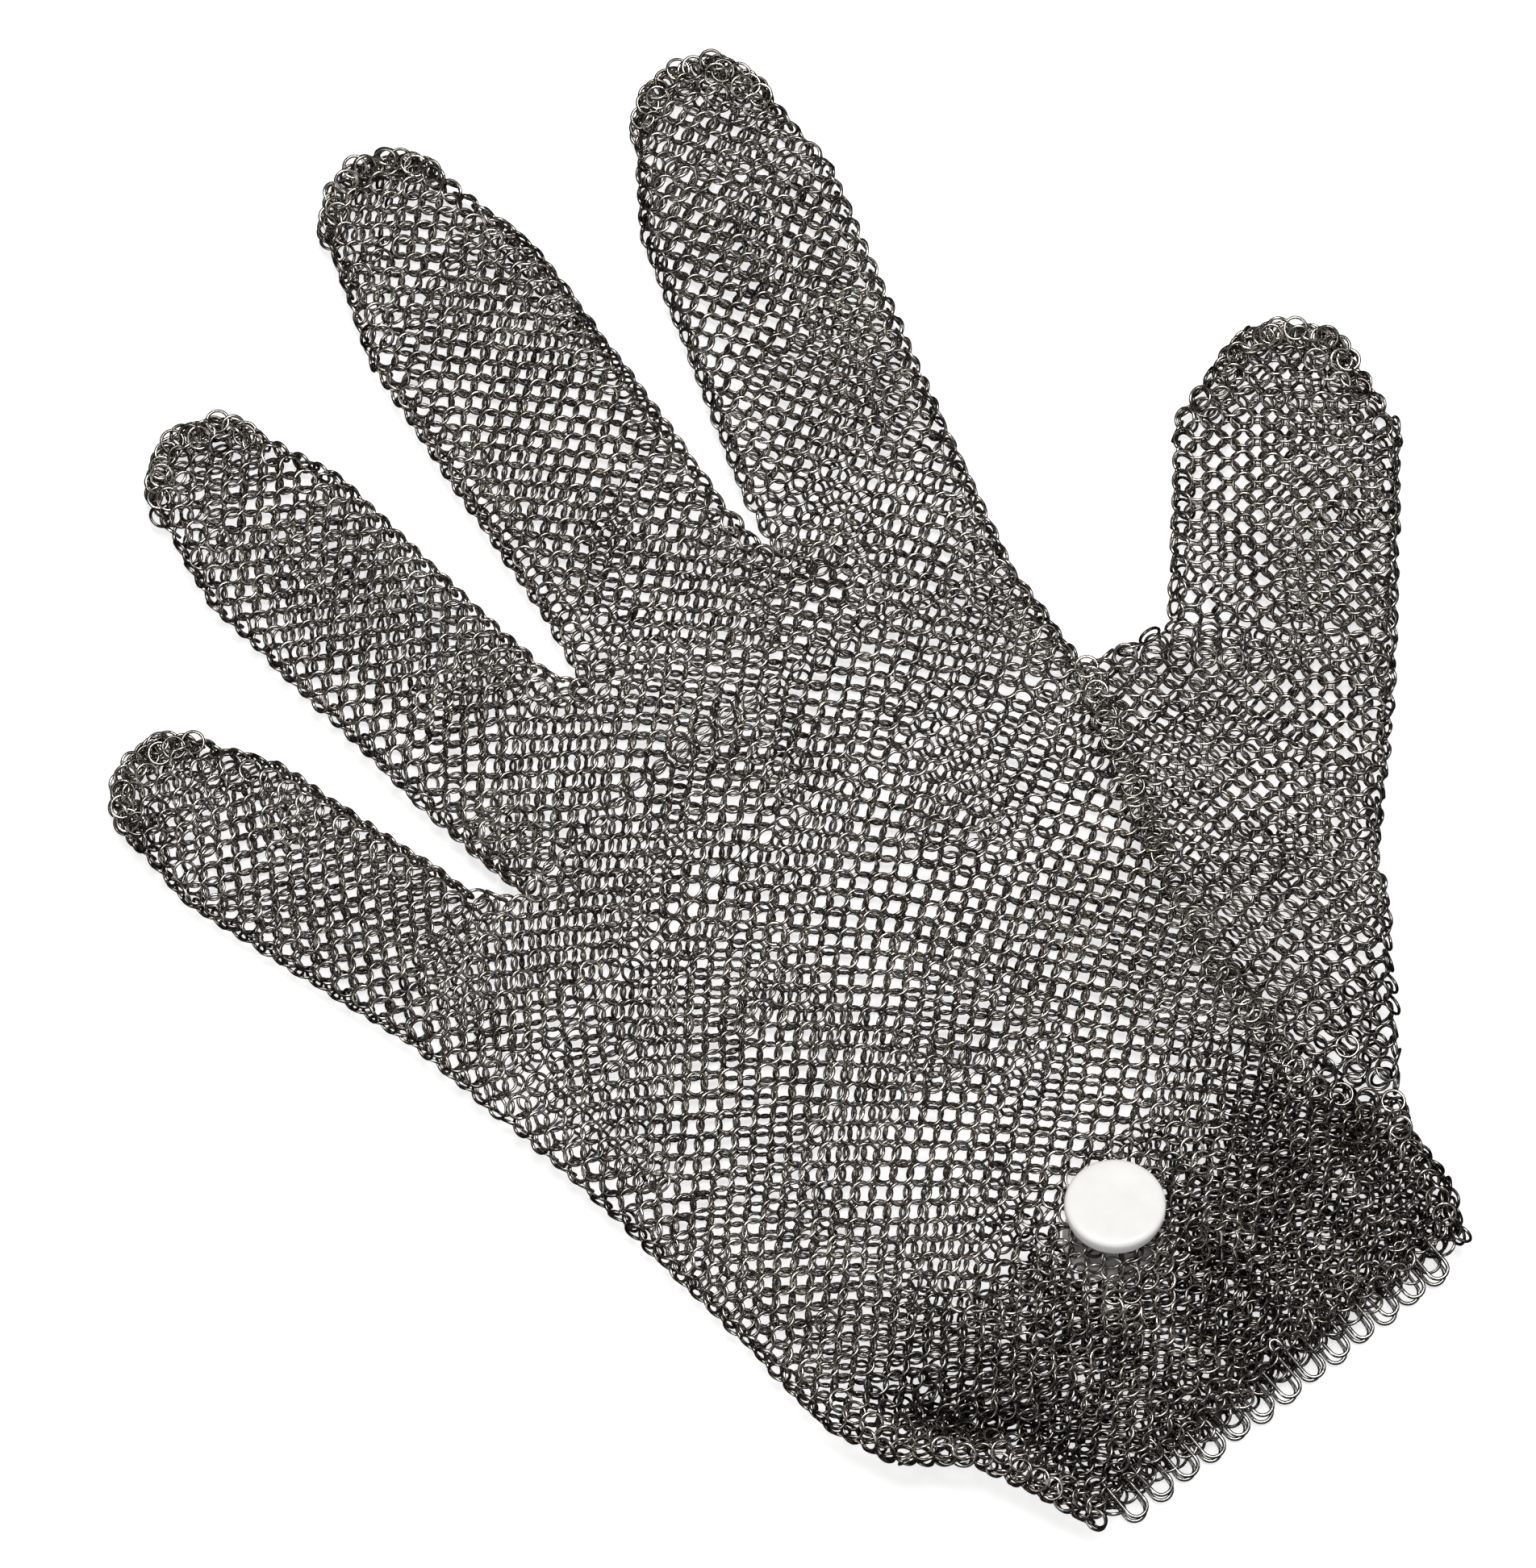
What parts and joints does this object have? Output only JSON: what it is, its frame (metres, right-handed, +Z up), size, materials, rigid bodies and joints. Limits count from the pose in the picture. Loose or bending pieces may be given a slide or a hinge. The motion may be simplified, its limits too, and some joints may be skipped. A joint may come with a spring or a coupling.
{
  "type": "cut resistant glove",
  "caption": "Five-finger ring-mesh work glove lying flat, with fanned fingers, a gathered cuff with closing springs along its mouth and a round clip-on button.",
  "frame": {"origin": "middle of the underside of the glove, lying flat", "axes": "+Y from the cuff to the middle fingertip, +X towards the thumb, +Z up out of the visible side"},
  "size_m": [0.2144, 0.2638, 0.0197],
  "materials": {
    "ring_mail": "bright drawn wire",
    "spring_steel": "bright spring wire",
    "white_plastic": "smooth moulded"
  },
  "bodies": {
    "palm": {"palm_mail": "ring_mail"},
    "cuff": {"cuff_mail": "ring_mail", "cuff_spring_front": "spring_steel", "cuff_spring_back": "spring_steel"},
    "button": {"button_cap": "white_plastic", "button_base": "white_plastic", "button_back_disc": "white_plastic"},
    "thumb_base": {"thumb_base_mail": "ring_mail"},
    "thumb_middle": {"thumb_middle_mail": "ring_mail"},
    "thumb_tip": {"thumb_tip_mail": "ring_mail"},
    "index_base": {"index_base_mail": "ring_mail"},
    "index_middle": {"index_middle_mail": "ring_mail"},
    "index_tip": {"index_tip_mail": "ring_mail"},
    "middle_base": {"middle_base_mail": "ring_mail"},
    "middle_middle": {"middle_middle_mail": "ring_mail"},
    "middle_tip": {"middle_tip_mail": "ring_mail"},
    "ring_base": {"ring_base_mail": "ring_mail"},
    "ring_middle": {"ring_middle_mail": "ring_mail"},
    "ring_tip": {"ring_tip_mail": "ring_mail"},
    "little_base": {"little_base_mail": "ring_mail"},
    "little_middle": {"little_middle_mail": "ring_mail"},
    "little_tip": {"little_tip_mail": "ring_mail"}
  },
  "joints": [
    {"name": "wrist_bend", "type": "hinge", "parent": "palm", "child": "cuff", "pos_m": [-0.01171, -0.07121, 0.004], "axis": [-1, 0, 0], "range_deg": [0, 40]},
    {"name": "button_spin", "type": "hinge", "parent": "cuff", "child": "button", "pos_m": [-0.01701, -0.08981, 0.0136], "axis": [0.2306, 0.2952, 0.9272], "continuous": true},
    {"name": "thumb_swing", "type": "hinge", "parent": "palm", "child": "thumb_base", "pos_m": [0.04684, -0.04221, 0.004], "axis": [0.3039, -0.9527, 0], "range_deg": [0, 40]},
    {"name": "thumb_knuckle", "type": "hinge", "parent": "thumb_base", "child": "thumb_middle", "pos_m": [0.06809, -0.02871, 0.004], "axis": [0.766, -0.6428, 0], "range_deg": [0, 60]},
    {"name": "thumb_tip_bend", "type": "hinge", "parent": "thumb_middle", "child": "thumb_tip", "pos_m": [0.08376, -0.01003, 0.004], "axis": [0.766, -0.6428, 0], "range_deg": [0, 80]},
    {"name": "index_knuckle", "type": "hinge", "parent": "palm", "child": "index_base", "pos_m": [0.02709, 0.03679, 0.004], "axis": [0.9613, -0.2756, 0], "range_deg": [0, 60]},
    {"name": "index_middle_bend", "type": "hinge", "parent": "index_base", "child": "index_middle", "pos_m": [0.03397, 0.06079, 0.004], "axis": [0.9613, -0.2756, 0], "range_deg": [0, 80]},
    {"name": "index_tip_bend", "type": "hinge", "parent": "index_middle", "child": "index_tip", "pos_m": [0.04042, 0.08328, 0.004], "axis": [0.9613, -0.2756, 0], "range_deg": [0, 40]},
    {"name": "middle_knuckle", "type": "hinge", "parent": "palm", "child": "middle_base", "pos_m": [-0.01091, 0.04299, 0.004], "axis": [0.9986, -0.0523, 0], "range_deg": [0, 60]},
    {"name": "middle_middle_bend", "type": "hinge", "parent": "middle_base", "child": "middle_middle", "pos_m": [-0.00942, 0.07143, 0.004], "axis": [0.9986, -0.0523, 0], "range_deg": [0, 80]},
    {"name": "middle_tip_bend", "type": "hinge", "parent": "middle_middle", "child": "middle_tip", "pos_m": [-0.00802, 0.0981, 0.004], "axis": [0.9986, -0.0523, 0], "range_deg": [0, 40]},
    {"name": "ring_knuckle", "type": "hinge", "parent": "palm", "child": "ring_base", "pos_m": [-0.04931, 0.03679, 0.004], "axis": [0.9903, 0.1392, 0], "range_deg": [0, 60]},
    {"name": "ring_middle_bend", "type": "hinge", "parent": "ring_base", "child": "ring_middle", "pos_m": [-0.05274, 0.06119, 0.004], "axis": [0.9903, 0.1392, 0], "range_deg": [0, 80]},
    {"name": "ring_tip_bend", "type": "hinge", "parent": "ring_middle", "child": "ring_tip", "pos_m": [-0.05595, 0.08407, 0.004], "axis": [0.9903, 0.1392, 0], "range_deg": [0, 40]},
    {"name": "little_knuckle", "type": "hinge", "parent": "palm", "child": "little_base", "pos_m": [-0.07891, 0.01239, 0.004], "axis": [0.9455, 0.3256, 0], "range_deg": [0, 60]},
    {"name": "little_middle_bend", "type": "hinge", "parent": "little_base", "child": "little_middle", "pos_m": [-0.08557, 0.03176, 0.004], "axis": [0.9455, 0.3256, 0], "range_deg": [0, 80]},
    {"name": "little_tip_bend", "type": "hinge", "parent": "little_middle", "child": "little_tip", "pos_m": [-0.09183, 0.04991, 0.004], "axis": [0.9455, 0.3256, 0], "range_deg": [0, 40]}
  ]
}
